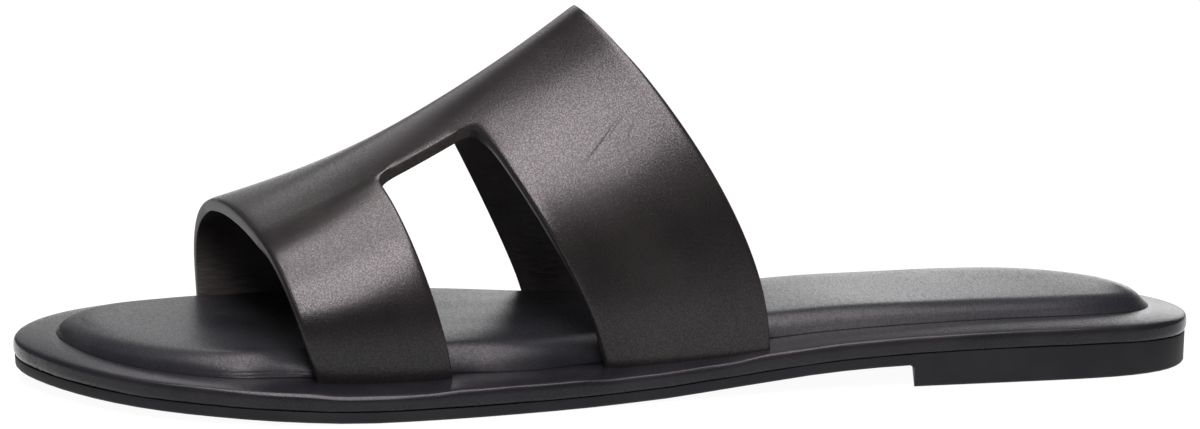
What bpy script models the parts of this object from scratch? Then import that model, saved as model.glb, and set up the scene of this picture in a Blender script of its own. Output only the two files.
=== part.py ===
# A flat left slide sandal: rubber outsole with a low moulded heel, leather wrapped rim board,
# padded insole and a one piece leather upper with a window in each side.
# X runs from the toe (negative) to the heel (positive), Y from the outer side (negative) to the
# inner side (positive) and Z up from the floor. Sizes are in millimetres until a mesh is made.

import math
from collections import namedtuple

import bpy
import numpy as np

MM = 0.001
SOLE_LENGTH = 260.0
HALF_LENGTH = SOLE_LENGTH / 2.0
OUTSOLE_THICKNESS = 2.4
PIECE_GAP = 0.3
WALL = 2.8
HEEL_STATIONS = 17
FOREPART_STATIONS = 33
CROSS_STEPS = 6
PLAN_PROBE = 0.01
SURFACE_PROBE = 0.004

# The heel block
BREAST_FROM_HEEL = 66.2
BREAST_SLANT = 10.0
BREAST_FILLET = 1.4
BREAST_FILLET_STEPS = 3
BREAST_RISE_RUN = 0.05

# The rim outline, a row for each 15 degrees of its round from the heel back to the toe tip:
# distance of the rim from the long axis on the outer and the inner side
OutlineRow = namedtuple("OutlineRow", "lateral medial")
RIM_OUTLINE = (
    OutlineRow(1.0, -1.0),
    OutlineRow(12.9, 11.0),
    OutlineRow(20.3, 20.6),
    OutlineRow(23.2, 27.6),
    OutlineRow(25.4, 31.0),
    OutlineRow(28.9, 28.8),
    OutlineRow(35.5, 29.2),
    OutlineRow(43.5, 38.8),
    OutlineRow(46.7, 46.3),
    OutlineRow(41.8, 44.4),
    OutlineRow(28.2, 35.6),
    OutlineRow(10.8, 21.2),
    OutlineRow(-4.6, 4.6),
)

# The side line of the sole: height of the joint between outsole and rim board
LineRow = namedtuple("LineRow", "from_heel seam")
SIDE_LINE = (
    LineRow(0.0, 6.8),
    LineRow(27.0, 7.6),
    LineRow(45.0, 7.65),
    LineRow(64.0, 7.3),
    LineRow(83.0, 6.5),
    LineRow(104.0, 4.6),
    LineRow(125.0, 2.9),
    LineRow(145.0, 2.4),
    LineRow(185.0, 2.4),
    LineRow(205.0, 3.1),
    LineRow(220.0, 3.8),
    LineRow(238.0, 4.3),
    LineRow(260.0, 4.9),
)

# How far the padded insole stands above its border on each side
CrownRow = namedtuple("CrownRow", "from_heel lateral medial")
CROWN = (
    CrownRow(0.0, 4.4, 4.4),
    CrownRow(14.0, 3.6, 5.1),
    CrownRow(32.0, 3.3, 5.4),
    CrownRow(54.0, 3.6, 4.8),
    CrownRow(70.0, 4.1, 4.6),
    CrownRow(92.0, 4.7, 5.9),
    CrownRow(112.0, 5.3, 6.6),
    CrownRow(135.0, 5.9, 6.9),
    CrownRow(158.0, 6.2, 6.6),
    CrownRow(185.0, 5.9, 5.0),
    CrownRow(205.0, 5.3, 3.3),
    CrownRow(222.0, 4.5, 2.5),
    CrownRow(238.0, 3.7, 2.0),
    CrownRow(260.0, 2.6, 2.6),
)

# Inset of the insole border from the rim on each side. It is wider where the straps go in
BorderRow = namedtuple("BorderRow", "from_heel lateral medial")
BORDER = (
    BorderRow(0.0, 9.9, 9.9),
    BorderRow(38.0, 8.8, 8.8),
    BorderRow(68.0, 8.6, 8.8),
    BorderRow(90.0, 9.3, 9.2),
    BorderRow(112.0, 9.7, 10.5),
    BorderRow(134.0, 9.7, 10.5),
    BorderRow(148.0, 8.1, 10.5),
    BorderRow(155.0, 8.6, 10.5),
    BorderRow(165.0, 10.6, 10.5),
    BorderRow(201.0, 10.6, 10.5),
    BorderRow(216.0, 6.5, 10.5),
    BorderRow(226.0, 6.0, 10.5),
    BorderRow(244.0, 6.4, 9.4),
    BorderRow(260.0, 9.4, 9.4),
)

# Cross sections of the sole pieces from the under side up and in again: inset from the rim
# outline (for the insole from its border), height above the foot of the section, and the share
# of the insole crown added to it
RingRow = namedtuple("RingRow", "inset rise crown")
OUTSOLE_SIDE = (
    RingRow(0.9, 0.0, 0.0),
    RingRow(0.5, 0.4, 0.0),
)
OUTSOLE_TOP_INSET = 0.4
MIDSOLE_RINGS = (
    RingRow(6.0, PIECE_GAP, 0.0),
    RingRow(0.6, PIECE_GAP, 0.0),
    RingRow(0.1, 0.9, 0.0),
    RingRow(0.0, 1.8, 0.0),
    RingRow(0.1, 2.8, 0.0),
    RingRow(0.5, 3.5, 0.0),
    RingRow(1.3, 4.0, 0.0),
    RingRow(2.6, 4.3, 0.0),
    RingRow(6.0, 4.8, 0.0),
    RingRow(9.8, 5.1, 0.0),
    RingRow(14.0, 5.1, 0.0),
)
LEDGE_RINGS = MIDSOLE_RINGS[5:]
INSOLE_RINGS = (
    RingRow(3.5, 5.1 + PIECE_GAP, 0.0),
    RingRow(0.4, 5.1 + PIECE_GAP, 0.0),
    RingRow(0.0, 5.7, 0.0),
    RingRow(0.5, 5.7, 0.20),
    RingRow(1.2, 5.7, 0.38),
    RingRow(2.1, 5.7, 0.54),
    RingRow(3.3, 5.7, 0.70),
    RingRow(4.4, 5.7, 0.80),
    RingRow(5.6, 5.7, 0.87),
)
INSOLE_DOME = 0.13
DOME_POWER = 3.0
FULL_DOME_WIDTH = 20.0

# Sections of the upper at its front edge, middle and rear edge. The ridge point of a section,
# where its feet stand along the shoe on each side and their inset from the rim
UpperRow = namedtuple("UpperRow", "ridge_x ridge_y ridge_z lateral_x medial_x lateral_inset medial_inset")
UPPER_SECTIONS = (
    UpperRow(-82.9, 0.2, 37.4, -67.4, -90.2, 7.4, 7.4),
    UpperRow(-45.4, 0.2, 56.2, -18.0, -30.0, 7.0, 7.2),
    UpperRow(-7.8, 0.2, 81.3, 32.1, 29.6, 2.4, 6.0),
)

# The arch of each side at the same three sections: roundness of the crown, uprightness of the
# side, bulge over the foot, share of the plan slant that follows the width, and how soon the
# rest of it comes on the way down
ArchRow = namedtuple("ArchRow", "crown side bulge slant sweep")
LATERAL_ARCH = (
    ArchRow(0.76, 0.68, 0.15, 0.47, 0.78),
    ArchRow(0.695, 0.605, 0.205, 0.30, 1.18),
    ArchRow(0.63, 0.53, 0.26, 0.13, 1.59),
)
MEDIAL_ARCH = (
    ArchRow(0.77, 0.67, 0.15, 1.26, 1.35),
    ArchRow(0.69, 0.59, 0.205, 0.63, 1.47),
    ArchRow(0.62, 0.52, 0.26, 0.0, 1.59),
)

# The window of each side, in shares of the way from front to rear edge and from ridge to foot
WindowRow = namedtuple("WindowRow", "top front_foot front_top rear_top rear_foot")
LATERAL_WINDOW = WindowRow(0.231, 0.314, 0.346, 0.613, 0.650)
MEDIAL_WINDOW = WindowRow(0.238, 0.306, 0.338, 0.558, 0.648)
BRIDGE_CUT = 2.6
BRIDGE_CUT_END = 0.34
CORNER_ALONG = 0.030
CORNER_DOWN = 0.040
CORNER_SHARES = (0.0, 0.08, 0.32, 0.65, 1.0)
LEG_ROWS = 10
BRIDGE_ROWS = 8
FRONT_COLUMNS = 7
MIDDLE_COLUMNS = 6
REAR_COLUMNS = 8


def monotone_table(places, values):
    places = np.asarray(places, float)
    values = np.asarray(values, float)
    steps = np.diff(places)
    slopes = np.diff(values) / steps
    tangents = np.zeros(len(values))
    for index in range(1, len(values) - 1):
        before = slopes[index - 1]
        after = slopes[index]
        if before * after > 0.0:
            weight_a = 2.0 * steps[index] + steps[index - 1]
            weight_b = steps[index] + 2.0 * steps[index - 1]
            tangents[index] = (weight_a + weight_b) / (weight_a / before + weight_b / after)
    tangents[0] = slopes[0]
    tangents[-1] = slopes[-1]

    def read(place):
        place = np.clip(np.asarray(place, float), places[0], places[-1])
        cell = np.clip(np.searchsorted(places, place) - 1, 0, len(steps) - 1)
        step = steps[cell]
        share = (place - places[cell]) / step
        square = share * share
        cube = square * share
        start = (2.0 * cube - 3.0 * square + 1.0) * values[cell]
        start_tangent = (cube - 2.0 * square + share) * step * tangents[cell]
        end = (3.0 * square - 2.0 * cube) * values[cell + 1]
        end_tangent = (cube - square) * step * tangents[cell + 1]
        return start + start_tangent + end + end_tangent

    return read


def closed_spline(values):
    values = np.asarray(values, float)
    count = len(values)
    step = 2.0 * math.pi / count
    matrix = np.zeros((count, count))
    right = np.zeros(count)
    for index in range(count):
        before = (index - 1) % count
        after = (index + 1) % count
        matrix[index, before] = 1.0
        matrix[index, index] = 4.0
        matrix[index, after] = 1.0
        right[index] = 6.0 * (values[before] - 2.0 * values[index] + values[after]) / step**2
    bends = np.linalg.solve(matrix, right)

    def read(angle):
        turn = np.mod(np.asarray(angle, float), 2.0 * math.pi)
        cell = np.minimum((turn / step).astype(int), count - 1)
        after = (cell + 1) % count
        rest = turn - cell * step
        left = step - rest
        cubic = (bends[cell] * left**3 + bends[after] * rest**3) / (6.0 * step)
        start = (values[cell] / step - bends[cell] * step / 6.0) * left
        end = (values[after] / step - bends[after] * step / 6.0) * rest
        return cubic + start + end

    return read


def outline_reader():
    lateral = [-row.lateral for row in RIM_OUTLINE]
    medial = [row.medial for row in RIM_OUTLINE]
    return closed_spline(lateral + medial[-2:0:-1])


rim_y = outline_reader()
seam_at = monotone_table([row.from_heel for row in SIDE_LINE], [row.seam for row in SIDE_LINE])
lateral_crown_at = monotone_table([row.from_heel for row in CROWN], [row.lateral for row in CROWN])
medial_crown_at = monotone_table([row.from_heel for row in CROWN], [row.medial for row in CROWN])
lateral_border_at = monotone_table([row.from_heel for row in BORDER], [row.lateral for row in BORDER])
medial_border_at = monotone_table([row.from_heel for row in BORDER], [row.medial for row in BORDER])


def seam_height(x):
    return seam_at(HALF_LENGTH - x)


def by_side(angle, lateral_at, medial_at):
    from_heel = HALF_LENGTH - rim_point(angle)[:, 0]
    return np.where(angle <= math.pi, lateral_at(from_heel), medial_at(from_heel))


def no_dome(x):
    return 0.0


def insole_dome(x):
    from_heel = HALF_LENGTH - x
    return INSOLE_DOME * (lateral_crown_at(from_heel) + medial_crown_at(from_heel)) / 2.0


def rim_point(angle):
    return np.stack([HALF_LENGTH * np.cos(angle), rim_y(angle)], -1)


def inset_point(angle, inset):
    along = rim_point(angle + PLAN_PROBE) - rim_point(angle - PLAN_PROBE)
    along /= np.linalg.norm(along, axis=-1, keepdims=True)
    inward = np.stack([along[..., 1], -along[..., 0]], -1)
    return rim_point(angle) + inward * np.asarray(inset)[..., None]


def half_round_angles(breast_x):
    breast_places = [breast_x]
    for step in range(BREAST_FILLET_STEPS):
        share = step / (BREAST_FILLET_STEPS - 0.5)
        breast_places.append(breast_x - BREAST_RISE_RUN - BREAST_FILLET * share**2)
    breast_angles = [math.acos(place / HALF_LENGTH) for place in breast_places]
    before = np.linspace(0.0, min(breast_angles), HEEL_STATIONS, endpoint=False)
    after = np.linspace(max(breast_angles), math.pi, FOREPART_STATIONS + 1)[1:]
    return np.concatenate([before, sorted(breast_angles), after])


LATERAL_BREAST = HALF_LENGTH - BREAST_FROM_HEEL
MEDIAL_BREAST = LATERAL_BREAST + BREAST_SLANT
HALF_ROUND = half_round_angles(LATERAL_BREAST)
MEDIAL_ROUND = half_round_angles(MEDIAL_BREAST)
FULL_ROUND = np.concatenate([HALF_ROUND, 2.0 * math.pi - MEDIAL_ROUND[-2:0:-1]])
BREAST_ROUND = np.where(FULL_ROUND <= math.pi, LATERAL_BREAST, MEDIAL_BREAST)


def underside_height(x):
    sheet = seam_height(x) - OUTSOLE_THICKNESS
    into = np.clip((x - (BREAST_ROUND - BREAST_FILLET)) / BREAST_FILLET, 0.0, 1.0)
    rounded = sheet - BREAST_FILLET * (1.0 - np.sqrt(1.0 - into * into))
    return np.where(x > BREAST_ROUND - BREAST_RISE_RUN / 2.0, 0.0, np.maximum(rounded, 0.0))


def new_piece(name, points, faces, material):
    mesh = bpy.data.meshes.new(name)
    mesh.from_pydata([tuple(point * MM for point in row) for row in points], [], faces)
    mesh.validate()
    mesh.update()
    mesh.materials.append(material)
    piece = bpy.data.objects.new(name, mesh)
    bpy.context.scene.collection.objects.link(piece)
    for polygon in mesh.polygons:
        polygon.use_smooth = True
    return piece


def ladder(points, faces, ring, dome, turned):
    count = len(HALF_ROUND)
    total = len(FULL_ROUND)
    rails = []
    for index in range(count):
        near = ring[index]
        far = ring[(total - index) % total]
        if near == far:
            rails.append([near] * (CROSS_STEPS + 1))
            continue
        rail = [near]
        for step in range(1, CROSS_STEPS):
            share = step / CROSS_STEPS
            start = np.array(points[near])
            end = np.array(points[far])
            middle = start + (end - start) * share
            fullness = min(1.0, np.linalg.norm(end - start) / FULL_DOME_WIDTH)
            middle[2] += dome(middle[0]) * fullness * (1.0 - abs(2.0 * share - 1.0) ** DOME_POWER)
            points.append(tuple(middle))
            rail.append(len(points) - 1)
        rail.append(far)
        rails.append(rail)
    for first, second in zip(rails, rails[1:]):
        for step in range(CROSS_STEPS):
            corners = [first[step], first[step + 1], second[step + 1], second[step]]
            corners = list(dict.fromkeys(corners))
            if turned:
                corners.reverse()
            faces.append(corners)


def ring_solid(name, rings, dome, material):
    points = []
    faces = []
    total = len(FULL_ROUND)
    for ring in rings:
        points.extend(tuple(row) for row in ring)
    for level in range(len(rings) - 1):
        low = level * total
        high = low + total
        for index in range(total):
            after = (index + 1) % total
            faces.append([low + after, low + index, high + index, high + after])
    ladder(points, faces, list(range(total)), no_dome, True)
    top = (len(rings) - 1) * total
    ladder(points, faces, list(range(top, top + total)), dome, False)
    return new_piece(name, points, faces, material)


def lifted_ring(inset, height_of):
    stations = rim_point(FULL_ROUND)[:, 0]
    flat = inset_point(FULL_ROUND, inset + np.zeros(len(stations)))
    return np.column_stack([flat, height_of(flat[:, 0], stations)])


def make_outsole(material):
    rings = []
    for row in OUTSOLE_SIDE:
        rings.append(lifted_ring(row.inset, lambda x, station: underside_height(station) + row.rise))
    rings.append(lifted_ring(OUTSOLE_TOP_INSET, lambda x, station: seam_height(x)))
    return ring_solid("outsole", rings, no_dome, material)


def make_midsole(material):
    rings = []
    for row in MIDSOLE_RINGS:
        rings.append(lifted_ring(row.inset, lambda x, station: seam_height(x) + row.rise))
    return ring_solid("midsole", rings, no_dome, material)


def make_insole(material):
    border = by_side(FULL_ROUND, lateral_border_at, medial_border_at)
    crown = by_side(FULL_ROUND, lateral_crown_at, medial_crown_at)
    rings = []
    for row in INSOLE_RINGS:
        rings.append(
            lifted_ring(
                border + row.inset,
                lambda x, station: seam_height(x) + row.rise + row.crown * crown,
            )
        )
    return ring_solid("insole", rings, insole_dome, material)


def through_three(rows, field, share):
    front, middle, rear = (getattr(row, field) for row in rows)
    return (
        front * (1.0 - share) * (1.0 - 2.0 * share)
        + middle * 4.0 * share * (1.0 - share)
        + rear * share * (2.0 * share - 1.0)
    )


def ledge_height(inset):
    return np.interp(inset, [row.inset for row in LEDGE_RINGS], [row.rise for row in LEDGE_RINGS])


def upper_outer(along, across):
    lateral = across < 0.0
    arch = LATERAL_ARCH if lateral else MEDIAL_ARCH
    down = abs(across)
    up = 1.0 - down
    foot_x = through_three(UPPER_SECTIONS, "lateral_x" if lateral else "medial_x", along)
    inset = through_three(UPPER_SECTIONS, "lateral_inset" if lateral else "medial_inset", along)
    angle = math.acos(foot_x / HALF_LENGTH)
    foot = inset_point(np.array(angle if lateral else -angle), np.array(inset))
    foot_z = seam_height(foot[0]) + ledge_height(inset + WALL) + PIECE_GAP
    crown = through_three(arch, "crown", along)
    bulge = 1.0 + through_three(arch, "bulge", along)
    width = 3.0 * up**2 * down * crown + 3.0 * up * down**2 * bulge + down**3
    height = up**3 + 3.0 * up**2 * down + 3.0 * up * down**2 * through_three(arch, "side", along)
    slant = through_three(arch, "slant", along)
    swept = 1.0 - max(height, 0.0) ** through_three(arch, "sweep", along)
    ridge_x = through_three(UPPER_SECTIONS, "ridge_x", along)
    ridge_y = through_three(UPPER_SECTIONS, "ridge_y", along)
    ridge_z = through_three(UPPER_SECTIONS, "ridge_z", along)
    return np.array(
        [
            ridge_x + (foot[0] - ridge_x) * (slant * width + (1.0 - slant) * swept),
            ridge_y + (foot[1] - ridge_y) * width,
            foot_z + (ridge_z - foot_z) * height,
        ]
    )


def upper_normal(along, across):
    lengthwise = upper_outer(along + SURFACE_PROBE, across) - upper_outer(along - SURFACE_PROBE, across)
    first = max(across - SURFACE_PROBE, -1.0)
    last = min(across + SURFACE_PROBE, 1.0)
    crosswise = upper_outer(along, last) - upper_outer(along, first)
    normal = np.cross(lengthwise, crosswise)
    return normal / np.linalg.norm(normal)


def wall_direction(along, across):
    normal = upper_normal(along, across)
    upright = BRIDGE_CUT * math.sqrt(max(1.0 - abs(across) / BRIDGE_CUT_END, 0.0))
    leaned = normal + np.array([0.0, 0.0, upright])
    return leaned / np.linalg.norm(leaned)


def window_edges(window, down):
    share = (down - window.top) / (1.0 - window.top)
    front = window.front_top + (window.front_foot - window.front_top) * share
    rear = window.rear_top + (window.rear_foot - window.rear_top) * share**2
    into = np.clip(1.0 - (down - window.top) / CORNER_DOWN, 0.0, 1.0)
    rounding = CORNER_ALONG * (1.0 - math.sqrt(1.0 - into * into))
    return front + rounding, rear - rounding


def leg_downs(window):
    downs = [window.top + CORNER_DOWN * share for share in CORNER_SHARES]
    start = downs[-1]
    for step in range(1, LEG_ROWS + 1):
        downs.append(start + (1.0 - start) * step / LEG_ROWS)
    return downs


def upper_rows():
    rows = []
    for down in reversed(leg_downs(LATERAL_WINDOW)):
        rows.append((-down, window_edges(LATERAL_WINDOW, down)))
    lateral_top = window_edges(LATERAL_WINDOW, LATERAL_WINDOW.top)
    medial_top = window_edges(MEDIAL_WINDOW, MEDIAL_WINDOW.top)
    for step in range(1, BRIDGE_ROWS):
        share = step / BRIDGE_ROWS
        across = -LATERAL_WINDOW.top + (LATERAL_WINDOW.top + MEDIAL_WINDOW.top) * share
        front = lateral_top[0] + (medial_top[0] - lateral_top[0]) * share
        rear = lateral_top[1] + (medial_top[1] - lateral_top[1]) * share
        rows.append((across, (front, rear)))
    for down in leg_downs(MEDIAL_WINDOW):
        rows.append((down, window_edges(MEDIAL_WINDOW, down)))
    return rows


def column_shares(front, rear):
    shares = [front * step / FRONT_COLUMNS for step in range(FRONT_COLUMNS + 1)]
    shares += [front + (rear - front) * step / MIDDLE_COLUMNS for step in range(1, MIDDLE_COLUMNS)]
    shares += [rear + (1.0 - rear) * step / REAR_COLUMNS for step in range(REAR_COLUMNS + 1)]
    return shares


def make_upper(material):
    rows = upper_rows()
    columns = FRONT_COLUMNS + MIDDLE_COLUMNS + REAR_COLUMNS + 1
    outer = []
    inner = []
    for across, (front, rear) in rows:
        for along in column_shares(front, rear):
            point = upper_outer(along, across)
            outer.append(point)
            inner.append(point - wall_direction(along, across) * WALL)
    bridge_first = len(leg_downs(LATERAL_WINDOW)) - 1
    bridge_last = bridge_first + BRIDGE_ROWS
    cells = []
    for row in range(len(rows) - 1):
        in_bridge = bridge_first <= row < bridge_last
        for column in range(columns - 1):
            in_window = FRONT_COLUMNS <= column < FRONT_COLUMNS + MIDDLE_COLUMNS
            if in_bridge or not in_window:
                start = row * columns + column
                cells.append([start, start + 1, start + columns + 1, start + columns])
    return sheet_solid("upper", outer, inner, cells, material)


def sheet_solid(name, outer, inner, cells, material):
    used = sorted({corner for cell in cells for corner in cell})
    place = {corner: index for index, corner in enumerate(used)}
    count = len(used)
    points = [tuple(outer[corner]) for corner in used] + [tuple(inner[corner]) for corner in used]
    faces = []
    edges = set()
    for cell in cells:
        corners = [place[corner] for corner in cell]
        faces.append(corners)
        faces.append([corner + count for corner in reversed(corners)])
        for first, second in zip(corners, corners[1:] + corners[:1]):
            edges.add((first, second))
    for first, second in sorted(edges):
        if (second, first) not in edges:
            faces.append([second, first, first + count, second + count])
    return new_piece(name, points, faces, material)


def plain_material(name, colour, roughness):
    material = bpy.data.materials.new(name)
    material.use_nodes = True
    shader = material.node_tree.nodes["Principled BSDF"]
    shader.inputs["Base Color"].default_value = (*colour, 1.0)
    shader.inputs["Roughness"].default_value = roughness
    return material


def main():
    for item in list(bpy.data.objects):
        bpy.data.objects.remove(item, do_unlink=True)
    rubber = plain_material("black_rubber", (0.018, 0.017, 0.017), 0.62)
    smooth_leather = plain_material("black_leather", (0.022, 0.020, 0.019), 0.42)
    lining_leather = plain_material("insole_leather", (0.026, 0.024, 0.024), 0.48)
    make_outsole(rubber)
    make_midsole(smooth_leather)
    make_insole(lining_leather)
    make_upper(smooth_leather)


main()
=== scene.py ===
import math

import bpy
import numpy as np
from mathutils import Matrix, Vector
from mathutils.bvhtree import BVHTree


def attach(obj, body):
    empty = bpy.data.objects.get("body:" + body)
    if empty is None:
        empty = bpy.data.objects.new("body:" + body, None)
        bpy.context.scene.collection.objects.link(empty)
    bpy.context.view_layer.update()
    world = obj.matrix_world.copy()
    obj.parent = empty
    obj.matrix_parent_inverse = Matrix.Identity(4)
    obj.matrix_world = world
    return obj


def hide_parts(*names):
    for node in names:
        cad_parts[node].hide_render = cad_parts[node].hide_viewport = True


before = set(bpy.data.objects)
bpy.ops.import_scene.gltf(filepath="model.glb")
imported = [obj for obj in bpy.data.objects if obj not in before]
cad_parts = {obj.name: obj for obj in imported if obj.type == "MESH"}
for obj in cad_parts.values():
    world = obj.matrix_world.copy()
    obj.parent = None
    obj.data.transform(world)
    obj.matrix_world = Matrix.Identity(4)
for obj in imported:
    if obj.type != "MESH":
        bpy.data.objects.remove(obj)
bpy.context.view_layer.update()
mm = 0.001
tiny = 1e-6
mergeReach = 0.001  # millimetres
overAll = 0.1  # metres, a height above every piece


# picking and copying

def only(piece):
    bpy.ops.object.select_all(action="DESELECT")
    piece.select_set(True)
    bpy.context.view_layer.objects.active = piece


def editMode(piece):
    only(piece)
    bpy.ops.object.mode_set(mode="EDIT")


def objectMode():
    bpy.ops.object.mode_set(mode="OBJECT")


def startPicks(piece, kind):
    # nothing is picked yet, and faces, edges or vertices can be picked in code
    editMode(piece)
    bpy.ops.mesh.select_mode(type=kind)
    bpy.ops.mesh.select_all(action="DESELECT")
    objectMode()


def endPicks():
    bpy.ops.mesh.select_all(action="DESELECT")
    objectMode()


def pickSharp(piece, sharpness):
    startPicks(piece, "EDGE")
    editMode(piece)
    bpy.ops.mesh.edges_select_sharp(sharpness=math.radians(sharpness))


def cadCopy(nodeName, pieceName):
    # a merged copy of the solid with its triangles paired back into quads
    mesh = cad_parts[nodeName].data.copy()
    mesh.name = pieceName
    mesh.materials.clear()
    piece = bpy.data.objects.new(pieceName, mesh)
    bpy.context.scene.collection.objects.link(piece)
    editMode(piece)
    bpy.ops.mesh.customdata_custom_splitnormals_clear()
    bpy.ops.mesh.select_all(action="SELECT")
    bpy.ops.mesh.remove_doubles(threshold=mergeReach * mm)
    bpy.ops.mesh.tris_convert_to_quads(
        face_threshold=math.pi, shape_threshold=math.pi, topology_influence=1.0
    )
    endPicks()
    return piece


def smoothOver(piece, levels):
    only(piece)
    modifier = piece.modifiers.new("smoothOver", "SUBSURF")
    modifier.levels = levels
    modifier.render_levels = levels
    bpy.ops.object.modifier_apply(modifier=modifier.name)
    only(piece)
    bpy.ops.object.shade_smooth()


def bevelPicks(width, steps):
    bpy.ops.mesh.bevel(offset=width * mm, segments=steps, profile=0.5, affect="EDGES", clamp_overlap=True)


def creaseSharpEdges(piece, sharpness, amount):
    pickSharp(piece, sharpness)
    bpy.ops.transform.edge_crease(value=amount)
    endPicks()


# points in millimetres

def readPoints(piece):
    flat = np.empty(len(piece.data.vertices) * 3, np.float32)
    piece.data.vertices.foreach_get("co", flat)
    return flat.reshape(-1, 3).astype(float) / mm


def readNormals(piece):
    flat = np.empty(len(piece.data.vertices) * 3, np.float32)
    piece.data.vertex_normals.foreach_get("vector", flat)
    return flat.reshape(-1, 3).astype(float)


def outwardWays(piece):
    # the level part of each vertex normal
    ways = readNormals(piece)
    ways[:, 2] = 0.0
    return ways / np.maximum(np.linalg.norm(ways, axis=1, keepdims=True), tiny)


def writePoints(piece, points):
    piece.data.vertices.foreach_set("co", (points * mm).astype(np.float32).ravel())
    piece.data.update()


def softStep(low, high, value):
    share = np.clip((value - low) / (high - low), 0.0, 1.0)
    return share * share * (3.0 - 2.0 * share)


def between(run, value):
    # rises over the first two places of a run and falls over the last two
    first, full, last, end = run
    return softStep(first, full, value) * (1.0 - softStep(last, end, value))


def bell(gap, width):
    return np.exp(-((gap / width) ** 2))


def lineDistance(points, line):
    # distance of points from a broken line, with the share of the way along it
    line = np.asarray(line, float)
    best = np.full(len(points), np.inf)
    place = np.zeros(len(points))
    runs = np.linalg.norm(np.diff(line, axis=0), axis=1)
    start = 0.0
    for first, second, run in zip(line, line[1:], runs):
        way = (second - first) / run
        along = np.clip((points - first) @ way, 0.0, run)
        gap = np.linalg.norm(points - first - along[:, None] * way, axis=1)
        nearer = gap < best
        best = np.where(nearer, gap, best)
        place = np.where(nearer, (start + along) / runs.sum(), place)
        start += run
    return best, place


def heightsOver(points, ground):
    below = BVHTree.FromObject(ground, bpy.context.evaluated_depsgraph_get())
    heights = np.zeros(len(points))
    for index, (x, y, z) in enumerate(points):
        spot = below.ray_cast(Vector((x * mm, y * mm, overAll)), Vector((0.0, 0.0, -1.0)))[0]
        heights[index] = z - spot.z / mm
    return heights


def layOn(piece, node):
    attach(piece, "root")
    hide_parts(node)


# camera: millimetres, degrees and photo pixels

cameraLook = {
    "aim": (0.0, -1.4, 30.0),
    "yaw": 8.0,
    "height": 11.53,
    "roll": 0.54,
    "distance": 1000.0,
    "pixelsPerMm": 4.569,
    "slide": (10.0, 20.6),  # pixels
    "imageWidth": 1200.0,
    "filmWidth": 36.0,
    "clip": (50.0, 30000.0),
}


def addCamera(look):
    yaw, height, roll = (math.radians(look[key]) for key in ("yaw", "height", "roll"))
    back = Vector((-math.sin(yaw) * math.cos(height), -math.cos(yaw) * math.cos(height), math.sin(height)))
    right = Vector((math.cos(yaw), -math.sin(yaw), 0.0))
    up = right.cross(-back)
    side = right * math.cos(roll) + up * math.sin(roll)
    top = up * math.cos(roll) - right * math.sin(roll)
    slideX, slideZ = look["slide"]
    place = Vector(look["aim"]) + back * look["distance"]
    place += side * (-slideX / look["pixelsPerMm"]) + top * (slideZ / look["pixelsPerMm"])
    lens = bpy.data.cameras.new("camera")
    lens.sensor_width = look["filmWidth"]
    lens.lens = look["pixelsPerMm"] * look["distance"] * look["filmWidth"] / look["imageWidth"]
    lens.clip_start, lens.clip_end = (reach * mm for reach in look["clip"])
    camera = bpy.data.objects.new("camera", lens)
    camera.matrix_world = Matrix((
        (side.x, top.x, back.x, place.x * mm),
        (side.y, top.y, back.y, place.y * mm),
        (side.z, top.z, back.z, place.z * mm),
        (0.0, 0.0, 0.0, 1.0),
    ))
    bpy.context.scene.collection.objects.link(camera)
    bpy.context.scene.camera = camera


addCamera(cameraLook)
print("camera placed")


# shader maths

class Sock:
    def __init__(self, tree, out=None):
        self.tree = tree
        self.out = out

    def make(self, kind, settings=None, inputs=None, out=0):
        node = self.tree.nodes.new(kind)
        for key, value in (settings or {}).items():
            setattr(node, key, value)
        for key, value in (inputs or {}).items():
            if isinstance(value, Sock):
                self.tree.links.new(value.out, node.inputs[key])
            else:
                node.inputs[key].default_value = value
        return Sock(self.tree, node.outputs[out])

    def maths(self, operation, first, second):
        return self.make("ShaderNodeMath", {"operation": operation}, {0: first, 1: second})

    def __add__(self, other):
        return self.maths("ADD", self, other)

    def __radd__(self, other):
        return self.maths("ADD", other, self)

    def __sub__(self, other):
        return self.maths("SUBTRACT", self, other)

    def __rsub__(self, other):
        return self.maths("SUBTRACT", other, self)

    def __mul__(self, other):
        return self.maths("MULTIPLY", self, other)

    def __rmul__(self, other):
        return self.maths("MULTIPLY", other, self)

    def __truediv__(self, other):
        return self.maths("DIVIDE", self, other)

    def __pow__(self, other):
        return self.maths("POWER", self, other)

    def smooth(self, low, high):
        settings = {"interpolation_type": "SMOOTHSTEP"}
        return self.make("ShaderNodeMapRange", settings, {"Value": self, "From Min": low, "From Max": high})

    def part(self, axis):
        return self.make("ShaderNodeSeparateXYZ", None, {0: self}, axis)

    def stretched(self, factors):
        return self.make("ShaderNodeVectorMath", {"operation": "MULTIPLY"}, {0: self, 1: factors})

    def moved(self, other):
        return self.make("ShaderNodeVectorMath", {"operation": "ADD"}, {0: self, 1: other})

    def along(self, direction):
        return self.make("ShaderNodeVectorMath", {"operation": "DOT_PRODUCT"}, {0: self, 1: direction}, 1)

    def noise(self, scale, detail, roughness, out=0):
        inputs = {"Vector": self, "Scale": scale, "Detail": detail, "Roughness": roughness}
        return self.make("ShaderNodeTexNoise", None, inputs, out)

    def cells(self, scale):
        return self.make("ShaderNodeTexVoronoi", None, {"Vector": self, "Scale": scale})

    def mixed(self, first, second):
        return self.make("ShaderNodeMix", {"data_type": "RGBA"}, {0: self, 6: first, 7: second}, 2)


def newFinish(name):
    # a material with its place on the piece in millimetres
    material = bpy.data.materials.new(name)
    material.use_nodes = True
    shader = material.node_tree.nodes["Principled BSDF"]
    metres = Sock(material.node_tree).make("ShaderNodeTexCoord", None, None, "Object")
    return material, shader, metres.stretched([1.0 / mm] * 3)


def link(shader, name, sock):
    sock.tree.links.new(sock.out, shader.inputs[name])


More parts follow.
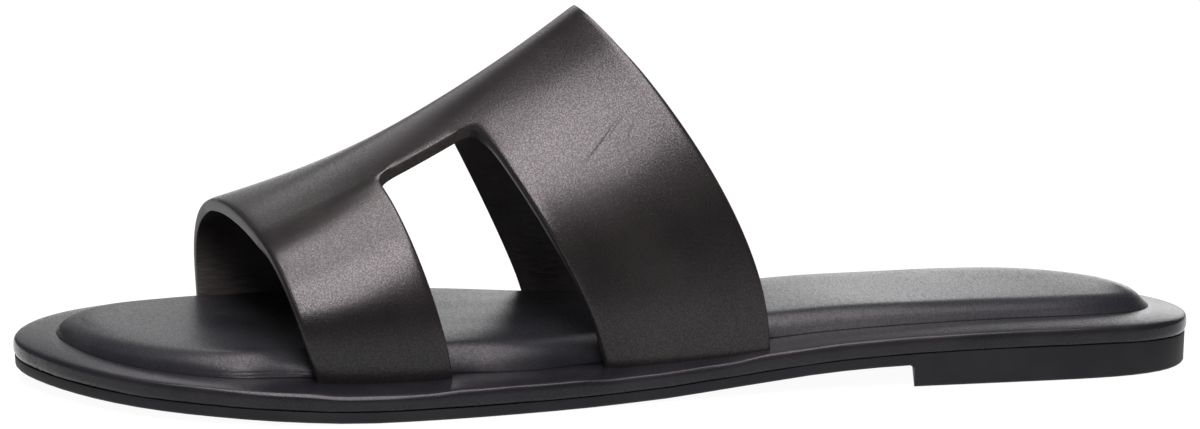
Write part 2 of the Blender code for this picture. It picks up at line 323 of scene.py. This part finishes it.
def shadeBy(shader, sock, look):
    link(shader, "Base Color", sock.smooth(*look["shades"]).mixed(look["dark"], look["light"]))


def addBump(shader, height, depth):
    # depth in millimetres for a height of one
    inputs = {"Strength": 1.0, "Distance": depth * mm, "Height": height}
    link(shader, "Normal", height.make("ShaderNodeBump", None, inputs))


def openings(sock, reach):
    # how far the coat is broken, from the two ends of a range and a weight
    low, high, weight = reach
    return sock.smooth(low, high) * weight


def coatShare(broken, look):
    least, most = look["coat"]
    return most - broken * (most - least)


def setGloss(shader, look):
    shader.inputs["IOR"].default_value = look["ior"]
    shader.inputs["Coat IOR"].default_value = look["coatIor"]
    shader.inputs["Coat Roughness"].default_value = look["roughness"]


# finishes: noises have a scale to the millimetre, a detail and a roughness, and bumps are in millimetres

grainLook = {
    "dark": (0.0075, 0.0068, 0.0068, 1.0),
    "light": (0.0125, 0.0114, 0.0113, 1.0),
    "shades": (0.35, 0.68),
    "roughness": 0.22,
    "cloudRoughness": 0.12,
    "cellRoughness": 0.05,
    "cellMiddle": 0.4,
    "ior": 1.22,
    "coatIor": 1.4,
    "coat": (0.1, 1.0),  # least and most
    "cellsOpen": (0.2, 0.62, 0.6),
    "poresOpen": (0.45, 0.7, 0.4),
    "dull": (),
    "warp": (1.3, 2.0, 0.5),
    "warpReach": 0.5,
    "pebble": 2.7,  # cells to a millimetre
    "pores": (6.0, 2.0, 0.6),
    "cloud": (0.045, 3.0, 0.55),
    "cellRise": 0.75,
    "poreRise": 0.35,
    "swell": 3.0,
    "depth": 0.04,
}


def grainLeather(name, look):
    material, shader, place = newFinish(name)
    warp = place.noise(*look["warp"], 1).stretched([look["warpReach"]] * 3)
    cells = place.moved(warp).cells(look["pebble"])
    pores = place.noise(*look["pores"])
    cloud = place.noise(*look["cloud"])
    shadeBy(shader, cloud, look)
    uneven = (cloud - 0.5) * look["cloudRoughness"] + (cells - look["cellMiddle"]) * look["cellRoughness"]
    link(shader, "Roughness", look["roughness"] + uneven)
    shine = coatShare(openings(cells, look["cellsOpen"]) + openings(pores, look["poresOpen"]), look)
    if look["dull"]:
        alongRun, heightRun = look["dull"]
        shine = shine * (1.0 - place.part(0).smooth(*alongRun) * place.part(2).smooth(*heightRun))
    link(shader, "Coat Weight", shine)
    setGloss(shader, look)
    rise = (1.0 - cells) * look["cellRise"] + pores * look["poreRise"] + cloud * look["swell"]
    addBump(shader, rise, look["depth"])
    return material


wrapLook = {
    **grainLook,
    "dark": (0.0068, 0.0069, 0.0087, 1.0),
    "light": (0.0117, 0.0115, 0.0136, 1.0),
    "roughness": 0.24,
    "coatIor": 1.27,
    "dull": ((112.0, 124.0), (9.8, 10.8)),  # runs along the shoe and upwards over which the shine ends
}

edgeLook = {
    "dark": (0.0115, 0.0100, 0.0098, 1.0),
    "light": (0.0235, 0.0204, 0.0200, 1.0),
    "shades": (0.35, 0.7),
    "roughness": 0.42,
    "streakRoughness": 0.2,
    "ior": 1.3,
    "stretch": (0.5, 0.5, 2.2),
    "streak": (1.6, 3.0, 0.6),
    "depth": 0.05,
}


def cutEdge(name, look):
    material, shader, place = newFinish(name)
    streak = place.stretched(look["stretch"]).noise(*look["streak"])
    shadeBy(shader, streak, look)
    link(shader, "Roughness", look["roughness"] + (streak - 0.5) * look["streakRoughness"])
    shader.inputs["IOR"].default_value = look["ior"]
    addBump(shader, streak, look["depth"])
    return material


liningLook = {
    "dark": (0.02, 0.0172, 0.0165, 1.0),
    "light": (0.034, 0.0295, 0.0281, 1.0),
    "shades": (0.35, 0.65),
    "roughness": 0.52,
    "cloudRoughness": 0.15,
    "pebble": 3.2,
    "cloud": (0.08, 3.0, 0.6),
    "stretch": (0.22, 0.22, 0.75),
    "folds": (1.0, 3.0, 0.6),
    "cellRise": 0.1,
    "depth": 0.2,
}


def liningLeather(name, look):
    material, shader, place = newFinish(name)
    cells = place.cells(look["pebble"])
    cloud = place.noise(*look["cloud"])
    folds = place.stretched(look["stretch"]).noise(*look["folds"])
    shadeBy(shader, cloud, look)
    link(shader, "Roughness", look["roughness"] + (cloud - 0.5) * look["cloudRoughness"])
    addBump(shader, (1.0 - cells) * look["cellRise"] + folds, look["depth"])
    return material


insoleLook = {
    "dark": (0.0075, 0.0084, 0.0104, 1.0),
    "light": (0.0127, 0.0135, 0.0155, 1.0),
    "shades": (0.35, 0.68),
    "roughness": 0.34,
    "cloudRoughness": 0.1,
    "dragRoughness": 0.06,
    "ior": 1.2,
    "coatIor": 1.25,
    "coat": (0.1, 1.0),
    "cellsOpen": (0.2, 0.62, 0.7),
    "dragOpen": (0.4, 0.7, 0.3),
    "warp": (0.9, 2.0, 0.5),
    "warpReach": 0.6,
    "pebble": 2.6,
    "cloud": (0.05, 3.0, 0.55),
    "stretch": (1.6, 0.5, 0.5),
    "drag": (1.2, 3.0, 0.6),
    "cellRise": 0.6,
    "dragRise": 0.5,
    "depth": 0.035,
}


def insoleLeather(name, look):
    material, shader, place = newFinish(name)
    warp = place.noise(*look["warp"], 1).stretched([look["warpReach"]] * 3)
    cells = place.moved(warp).cells(look["pebble"])
    cloud = place.noise(*look["cloud"])
    drag = place.stretched(look["stretch"]).noise(*look["drag"])
    shadeBy(shader, cloud, look)
    uneven = (cloud - 0.5) * look["cloudRoughness"] + (drag - 0.5) * look["dragRoughness"]
    link(shader, "Roughness", look["roughness"] + uneven)
    shine = coatShare(openings(cells, look["cellsOpen"]) + openings(drag, look["dragOpen"]), look)
    link(shader, "Coat Weight", shine)
    setGloss(shader, look)
    addBump(shader, (1.0 - cells) * look["cellRise"] + drag * look["dragRise"], look["depth"])
    return material


rubberLook = {
    "dark": (0.0049, 0.0053, 0.0066, 1.0),
    "light": (0.0078, 0.0082, 0.0098, 1.0),
    "shades": (0.35, 0.68),
    "roughness": 0.55,
    "speckleRoughness": 0.2,
    "ior": 1.3,
    "speckle": (5.0, 3.0, 0.65),
    "cloud": (0.06, 3.0, 0.55),
    "depth": 0.02,
}


def mouldedRubber(name, look):
    material, shader, place = newFinish(name)
    speckle = place.noise(*look["speckle"])
    cloud = place.noise(*look["cloud"])
    shadeBy(shader, cloud, look)
    link(shader, "Roughness", look["roughness"] + (speckle - 0.5) * look["speckleRoughness"])
    shader.inputs["IOR"].default_value = look["ior"]
    addBump(shader, speckle, look["depth"])
    return material


blackGrain = grainLeather("blackGrainLeather", grainLook)
blackEdge = cutEdge("paintedCutEdge", edgeLook)
blackLining = liningLeather("blackLining", liningLook)
satinInsole = insoleLeather("satinInsoleLeather", insoleLook)
wrapLeather = grainLeather("rimWrapLeather", wrapLook)
blackRubber = mouldedRubber("blackRubber", rubberLook)
print("finishes made")


# outsole

outsoleLook = {
    "sharpness": 32.0,
    "edgeRound": 0.22,
    "edgeSteps": 2,
    "smoothAngle": 38.0,
}


def makeOutsole(look):
    piece = cadCopy("outsole", "outsoleRubber")
    pickSharp(piece, look["sharpness"])
    bevelPicks(look["edgeRound"], look["edgeSteps"])
    endPicks()
    piece.data.materials.append(blackRubber)
    only(piece)
    bpy.ops.object.shade_smooth_by_angle(angle=math.radians(look["smoothAngle"]))
    layOn(piece, "outsole")


makeOutsole(outsoleLook)
print("outsole made")


# midsole: the wrapped rim closes down on the outsole and dips where the straps press it

midsoleLook = {
    "levels": 2,
    "lipDrop": 0.24,
    "lipFacing": 0.9,
    "lipCrease": 0.55,
    "sharpness": 40.0,
    "roll": ((2.8, 0.02, 0.4), (3.5, 0.12, 0.18), (4.0, 0.35, -0.05)),  # height, moves out and up
    "rollNear": 0.14,
    "seamFacing": 0.95,
    "press": 0.42,
    "pressRun": 4.0,
    "pressed": ((-66.0, -40.0, -1), (-8.0, 26.0, -1), (-90.0, -48.0, 1), (-12.0, 28.0, 1)),  # from, to, side
    "topFacing": (-0.3, 0.5),
    "sideFacing": (0.6, 0.95),
    "uneven": 0.06,
    "longWaves": (4.1, 1.3, 9.7),  # lengths over a radian, with the shift of the first between them
    "shortWaves": (0.6, 2.6, 3.9),  # share, and lengths along and across the shoe
    "pleats": ((-126.2, 0.10), (-125.1, 0.16), (-123.9, 0.12), (-122.3, 0.08)),  # place and depth
    "pleatWidth": 0.35,
}


def closeLip(piece, look):
    startPicks(piece, "FACE")
    for polygon in piece.data.polygons:
        polygon.select = -polygon.normal.z > look["lipFacing"]
    editMode(piece)
    bpy.ops.transform.translate(value=(0.0, 0.0, -look["lipDrop"] * mm))
    endPicks()


def seamHeights(x, look):
    # height of the outsole's upper face along the shoe
    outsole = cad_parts["outsole"]
    top = readPoints(outsole)[readNormals(outsole)[:, 2] > look["seamFacing"]]
    top = top[np.argsort(top[:, 0])]
    return np.interp(x, top[:, 0], top[:, 2])


def tightenRoll(piece, look):
    # the wrap turns over the edge of the board in a short round
    points = readPoints(piece)
    outward = outwardWays(piece)
    rise = points[:, 2] - seamHeights(points[:, 0], look)
    for height, out, up in look["roll"]:
        near = np.abs(rise - height) < look["rollNear"]
        points += outward * (out * near)[:, None]
        points[:, 2] += up * near
    writePoints(piece, points)


def strapPress(points, look):
    press = np.zeros(len(points))
    run = look["pressRun"]
    for first, last, side in look["pressed"]:
        inside = between((first - run, first + run, last - run, last + run), points[:, 0])
        press = np.maximum(press, inside * (points[:, 1] * side > 0.0))
    return press


def wearRim(piece, look):
    # dips under the straps, an uneven side and pleats round the toe on the outer side
    points = readPoints(piece)
    normals = readNormals(piece)
    onTop = softStep(*look["topFacing"], normals[:, 2])
    onSide = 1.0 - softStep(*look["sideFacing"], np.abs(normals[:, 2]))
    points[:, 2] -= look["press"] * strapPress(points, look) * onTop
    x, y = points[:, 0], points[:, 1]
    first, shift, second = look["longWaves"]
    share, along, across = look["shortWaves"]
    wave = np.sin(x / first + shift) * np.sin(x / second) + share * np.sin(x / along + y / across)
    points += normals * (look["uneven"] * wave * onSide)[:, None]
    for place, depth in look["pleats"]:
        trough = depth * bell(points[:, 0] - place, look["pleatWidth"])
        points -= normals * (trough * onSide * (points[:, 1] < 0.0))[:, None]
    writePoints(piece, points)


def makeMidsole(look):
    piece = cadCopy("midsole", "midsoleWrap")
    tightenRoll(piece, look)
    closeLip(piece, look)
    creaseSharpEdges(piece, look["sharpness"], look["lipCrease"])
    smoothOver(piece, look["levels"])
    wearRim(piece, look)
    piece.data.materials.append(wrapLeather)
    layOn(piece, "midsole")
    return piece


rim = makeMidsole(midsoleLook)
print("midsole made")


# insole: a padded footbed whose cover runs out on the rim and is gathered along its border at the toe

insoleShape = {
    "levels": 3,
    "fill": 0.85,
    "borderHeight": 1.0,
    "borderFacing": 0.85,
    "underFacing": -0.3,
    "flare": ((-130.0, 0.15), (20.0, 0.15), (50.0, 0.6), (95.0, 0.7), (106.0, 1.2), (130.0, 1.4)),
    "lip": 0.04,
    "tuck": 0.35,
    "sharpness": 55.0,
    "lipCrease": 0.95,
    "cushion": {
        "topFacing": 0.4,
        "slices": (-20.0, 121.0, 4.0),  # first place, end and step along the shoe
        "sliceReach": 2.5,
        "shoulders": (5.6, 8.0),  # insets on the outer and the inner side
        "shoulderReach": 1.2,
        "pressedShare": 0.8,
        "pressedFacing": (0.4, 0.8),
        "pressedRun": (-5.0, 30.0, 108.0, 119.0),
        "smoothFacing": 0.75,
        "smoothRounds": 90,
    },
    "waves": {
        "height": 0.03,
        "facing": (0.8, 0.98),
        "tread": (2.3, 0.9, 17.0),  # length over a radian, strength and length of its wander
        "treadRun": (-75.0, -45.0, -5.0, 25.0),
        "broad": (0.9, 11.0, 1.2, 6.1, 0.5),  # share, then length and shift along and across the shoe
        "fine": (0.5, 5.3, 4.7),  # share, and lengths along and across the shoe
    },
    "gathers": {
        "puckers": 0.02,
        "puckerPace": 5.0,  # radians to a millimetre
        "puckerWander": (0.8, 3.1),  # strength and length
        "puckerHeight": 1.0,
        "puckerWidth": 0.8,
        "folds": ((0.45, 0.16, 0.06), (1.05, 0.16, 0.07)),  # height over the rim, half width, depth
        "foldWander": (0.12, 4.3),
        "foldBeat": (0.3, 1.9),
        "lowest": 0.2,
        "run": (-94.0, -88.0, -66.0, -58.0),
        "elsewhere": 0.1,
    },
}


def drawBorder(piece, look):
    # the cover's border is drawn out thin on the rim and tucked under
    points = readPoints(piece)
    facing = readNormals(piece)[:, 2]
    low = heightsOver(points, rim) < look["borderHeight"]
    border = low & (np.abs(facing) < look["borderFacing"])
    under = low & (facing < look["underFacing"])
    flare = np.interp(points[:, 0], *np.array(look["flare"]).T)
    points += outwardWays(piece) * (flare * (border | under))[:, None]
    heights = heightsOver(points, rim)
    points[:, 2] -= np.where(border & ~under, heights - look["lip"], 0.0)
    points[:, 2] -= np.where(under, heights + look["tuck"], 0.0)
    writePoints(piece, points)


def shoulderLines(top, look):
    # places and heights of the two shoulders in slices across the shoe
    outer, inner = look["shoulders"]
    rows = []
    for spot in np.arange(*look["slices"]):
        cut = top[np.abs(top[:, 0] - spot) < look["sliceReach"]]
        ends = (cut[:, 1].min() + outer, cut[:, 1].max() - inner)
        tops = [cut[np.abs(cut[:, 1] - end) < look["shoulderReach"]][:, 2].mean() for end in ends]
        rows.append((spot, *ends, *tops))
    return np.array(rows).T


def pressFlat(piece, look):
    # the worn-in cushion lies flat between its two shoulders behind the straps
    points = readPoints(piece)
    facing = readNormals(piece)[:, 2]
    spots, *lines = shoulderLines(points[facing > look["topFacing"]], look)
    x, y, z = points.T
    low, high, lowZ, highZ = (np.interp(x, spots, line) for line in lines)
    along = np.clip((y - low) / (high - low), 0.0, 1.0)
    dome = np.maximum(z - lowZ - (highZ - lowZ) * along, 0.0)
    dome *= softStep(*look["pressedFacing"], facing) * between(look["pressedRun"], x)
    points[:, 2] -= look["pressedShare"] * dome
    writePoints(piece, points)
    startPicks(piece, "VERT")
    smoothed = (facing > look["smoothFacing"]) & (points[:, 0] > look["pressedRun"][0])
    for vertex, isSmoothed in zip(piece.data.vertices, smoothed):
        vertex.select = bool(isSmoothed)
    editMode(piece)
    bpy.ops.mesh.vertices_smooth(factor=0.5, repeat=look["smoothRounds"])
    endPicks()


def coverWaves(x, y, facing, look):
    # shallow waves on the cushion, most of them where the foot treads
    length, wander, wanderLength = look["tread"]
    wave = np.sin(y / length + wander * np.sin(x / wanderLength)) * between(look["treadRun"], x)
    share, along, alongShift, across, acrossShift = look["broad"]
    wave += share * np.sin(x / along + alongShift) * np.sin(y / across + acrossShift)
    share, along, across = look["fine"]
    wave += share * np.sin(x / along + y / across)
    return look["height"] * wave * softStep(*look["facing"], facing)


def coverGathers(x, y, heights, look):
    # puckers and two folds along the outer border at the toe, and hardly any elsewhere
    wander, wanderLength = look["puckerWander"]
    gather = look["puckers"] * np.sin(x * look["puckerPace"] + wander * np.sin(x / wanderLength))
    gather *= bell(heights - look["puckerHeight"], look["puckerWidth"])
    wander, wanderLength = look["foldWander"]
    beat, beatLength = look["foldBeat"]
    for level, width, depth in look["folds"]:
        middle = level + wander * np.sin(x / wanderLength + level)
        gather -= depth * bell(heights - middle, width) * (1.0 - beat + beat * np.sin(x / beatLength))
    run = between(look["run"], x) * (y < 0.0)
    return gather * (look["elsewhere"] + (1.0 - look["elsewhere"]) * run) * (heights > look["lowest"])


def softenCover(piece, look):
    points = readPoints(piece)
    normals = readNormals(piece)
    heights = heightsOver(points, rim)
    points += normals * coverWaves(points[:, 0], points[:, 1], normals[:, 2], look["waves"])[:, None]
    points += normals * coverGathers(points[:, 0], points[:, 1], heights, look["gathers"])[:, None]
    writePoints(piece, points)


def makeInsole(look):
    piece = cadCopy("insole", "insolePad")
    drawBorder(piece, look)
    creaseSharpEdges(piece, look["sharpness"], look["lipCrease"])
    smoothOver(piece, look["levels"])
    pressFlat(piece, look["cushion"])
    softenCover(piece, look)
    piece.data.materials.append(satinInsole)
    layOn(piece, "insole")


makeInsole(insoleShape)
print("insole made")


# upper: one sheet with a grain side, a lining side and painted cut edges

upperLook = {
    "sharpness": 35.0,
    "footTop": 18.0,
    "footFacing": 0.7,
    "footDrop": 1.7,
    "footClear": 3.0,
    "outerRound": 0.8,
    "innerRound": 0.4,
    "roundSteps": 2,
    "levels": 2,
    "patches": (((-4.0, -22.0, 56.0), 12.0, 5), ((-35.2, -13.7, 55.0), 2.6, 3)),  # place, reach, cuts
    "troughs": (
        # line, depth and half width, with a ridge as a trough of negative depth
        (((2.6, -19.3, 63.8), (-0.5, -20.5, 60.3), (-4.6, -22.5, 54.9), (-9.4, -24.6, 49.5)), 0.10, 0.40),
        (((3.7, -20.5, 61.7), (2.2, -21.7, 58.4), (0.9, -22.7, 55.7)), 0.05, 0.45),
        (((1.8, -20.4, 61.6), (-0.6, -22.0, 57.2), (-3.4, -23.4, 52.8)), -0.06, 2.0),
        (((-35.5, -13.6, 55.0), (-34.9, -13.8, 55.0)), 0.16, 0.4),
    ),
}

edgeSlot, grainSlot, liningSlot = range(3)


def sheetGroups(piece):
    # faces in groups bounded by sharp edges, the largest group first
    mesh = piece.data
    byEdge = {}
    for polygon in mesh.polygons:
        for key in polygon.edge_keys:
            byEdge.setdefault(key, []).append(polygon.index)
    sharp = {edge.key for edge in mesh.edges if edge.use_edge_sharp}
    grouped = set()
    groups = []
    for seed in range(len(mesh.polygons)):
        if seed in grouped:
            continue
        found = [seed]
        grouped.add(seed)
        for index in found:
            for key in mesh.polygons[index].edge_keys:
                for other in () if key in sharp else byEdge[key]:
                    if other not in grouped:
                        grouped.add(other)
                        found.append(other)
        groups.append(found)
    return sorted(groups, key=lambda faces: -sum(mesh.polygons[index].area for index in faces))


def markSheets(piece, look):
    # the two large sheets get the grain and the lining, and the faces between them stay cut edges
    pickSharp(piece, look["sharpness"])
    bpy.ops.mesh.mark_sharp()
    endPicks()
    for slotIndex, faces in zip((grainSlot, liningSlot), sheetGroups(piece)):
        for index in faces:
            piece.data.polygons[index].material_index = slotIndex


def lowerFeet(piece, look):
    # the ends of the straps run on down to the rim
    startPicks(piece, "FACE")
    for polygon in piece.data.polygons:
        facesDown = -polygon.normal.z > look["footFacing"]
        polygon.select = facesDown and polygon.center.z < look["footTop"] * mm
    editMode(piece)
    bpy.ops.transform.translate(value=(0.0, 0.0, -look["footDrop"] * mm))
    bpy.ops.mesh.region_to_loop()
    bpy.ops.transform.edge_crease(value=1.0)
    endPicks()


def roundBorder(piece, slotIndex, width, steps, above):
    # rounds the edges between a sheet and the cut faces, but not at the feet
    mesh = piece.data
    sides = {}
    for polygon in mesh.polygons:
        for key in polygon.edge_keys:
            sides.setdefault(key, set()).add(polygon.material_index == slotIndex)
    startPicks(piece, "EDGE")
    for edge in mesh.edges:
        top = max(mesh.vertices[end].co.z for end in edge.vertices)
        edge.select = len(sides[edge.key]) == 2 and top > above * mm
    editMode(piece)
    bevelPicks(width, steps)
    endPicks()


def crease(piece, look):
    # a finer mesh first, so that the troughs have enough points
    for place, reach, cuts in look["patches"]:
        startPicks(piece, "FACE")
        for polygon in piece.data.polygons:
            near = (polygon.center / mm - Vector(place)).length < reach
            polygon.select = near and polygon.material_index in (edgeSlot, grainSlot)
        editMode(piece)
        bpy.ops.mesh.subdivide(number_cuts=cuts, smoothness=1.0)
        endPicks()
    for line, depth, width in look["troughs"]:
        points = readPoints(piece)
        gap, share = lineDistance(points, line)
        trough = depth * bell(gap, width) * np.sin(math.pi * share)
        writePoints(piece, points - readNormals(piece) * trough[:, None])


def makeUpper(look):
    piece = cadCopy("upper", "upperLeather")
    for finish in (blackEdge, blackGrain, blackLining):
        piece.data.materials.append(finish)
    markSheets(piece, look)
    lowerFeet(piece, look)
    above = readPoints(piece)[:, 2].min() + look["footClear"]
    for slotIndex, width in ((grainSlot, look["outerRound"]), (liningSlot, look["innerRound"])):
        roundBorder(piece, slotIndex, width, look["roundSteps"], above)
    smoothOver(piece, look["levels"])
    crease(piece, look)
    only(piece)
    bpy.ops.object.shade_smooth()
    layOn(piece, "upper")


makeUpper(upperLook)
print("upper made")


# floor: a dark floor whose glow is painted light, bright round and under the shoe so that no shadow shows
# there, and dimmer in front of it

floorLook = {
    "size": 9.0,  # metres
    "drop": 0.2,  # millimetres
    "shade": (0.045, 0.045, 0.045, 1.0),
    "roughness": 0.9,
    "glow": 0.95,
    "frontGlow": 0.22,
    "frontFrom": (-60.0, -170.0),  # millimetres before the shoe's middle line
}


def addFloor(look):
    bpy.ops.object.select_all(action="DESELECT")
    bpy.ops.mesh.primitive_plane_add(size=look["size"], location=(0.0, 0.0, -look["drop"] * mm))
    floor = bpy.context.active_object
    floor.name = "floor"
    material, shader, place = newFinish("glowingFloor")
    shader.inputs["Base Color"].default_value = look["shade"]
    shader.inputs["Roughness"].default_value = look["roughness"]
    shader.inputs["Emission Strength"].default_value = 1.0
    # painted light: the floor's emission fills the shoe's shadow on it and drops to the front glow before
    # the shoe
    glow = look["glow"] + place.part(1).smooth(*look["frontFrom"]) * (look["frontGlow"] - look["glow"])
    link(shader, "Emission Color", glow)
    floor.data.materials.append(material)


addFloor(floorLook)


# lights: places and sizes in metres, turns in degrees

lightLook = {
    "overheadFront": {
        "place": (-0.09, -1.28, 1.03),
        "turn": (0.0, 0.0, 0.0),
        "size": (0.66, 1.66),
        "watts": 44.0,
        "shade": (1.0, 0.91, 0.94),
    },
    "overheadBack": {
        "place": (-0.02, -0.05, 1.03),
        "turn": (0.0, 0.0, 0.0),
        "size": (0.805, 0.8),
        "watts": 17.5,
        "shade": (1.0, 0.91, 0.94),
    },
    "backCard": {
        "place": (-0.075, 0.22, 0.21),
        "turn": (-55.0, 0.0, 0.0),
        "size": (0.14, 0.13),
        "watts": 0.075,
        "shade": (1.0, 0.97, 0.98),
    },
}


def addSoftbox(name, look):
    light = bpy.data.lights.new(name, "AREA")
    light.shape = "RECTANGLE"
    light.size, light.size_y = look["size"]
    light.energy = look["watts"]
    light.color = look["shade"]
    lamp = bpy.data.objects.new(name, light)
    lamp.location = look["place"]
    lamp.rotation_euler = [math.radians(angle) for angle in look["turn"]]
    bpy.context.scene.collection.objects.link(lamp)


for lampName, lampLook in lightLook.items():
    addSoftbox(lampName, lampLook)


# studio walls: a low bright wall behind the shoe, strongest towards the heel

worldLook = {
    "base": 0.105,
    "back": 3.0,
    "backWay": (0.438, 0.899, 0.0),
    "backReach": (0.905, 1.0),  # cosines of the turn from the way above
    "wide": 0.62,
    "wideReach": (0.75, 0.95),
    "backTop": (0.36, 0.47),  # sines of the angle over the floor
    "overBack": 0.1,
    "backFoot": (0.03, 0.15),
    "footShare": 0.25,
    "backEnd": (0.42, 0.56),  # sines of the turn towards the heel
    "endLoss": 0.85,
}


def addWorld(look):
    world = bpy.data.worlds.new("studio")
    world.use_nodes = True
    bpy.context.scene.world = world
    way = Sock(world.node_tree).make("ShaderNodeTexCoord", None, None, "Generated")
    rise = way.part(2)
    flat = (1.0 - rise ** 2.0) ** 0.5
    low = 1.0 - rise.smooth(*look["backTop"]) * (1.0 - look["overBack"])
    foot = look["footShare"] + (1.0 - look["footShare"]) * rise.smooth(*look["backFoot"])
    turned = way.along(look["backWay"]) / flat
    back = turned.smooth(*look["backReach"]) * look["back"]
    wide = turned.smooth(*look["wideReach"]) * look["wide"]
    end = 1.0 - (way.part(0) / flat).smooth(*look["backEnd"]) * look["endLoss"]
    glow = look["base"] + (back + wide) * (low * foot) * end
    background = world.node_tree.nodes["Background"]
    background.inputs["Color"].default_value = (1.0, 1.0, 1.0, 1.0)
    world.node_tree.links.new(glow.out, background.inputs["Strength"])


addWorld(worldLook)
bpy.context.scene.view_settings.view_transform = "Standard"
print("stage lit")
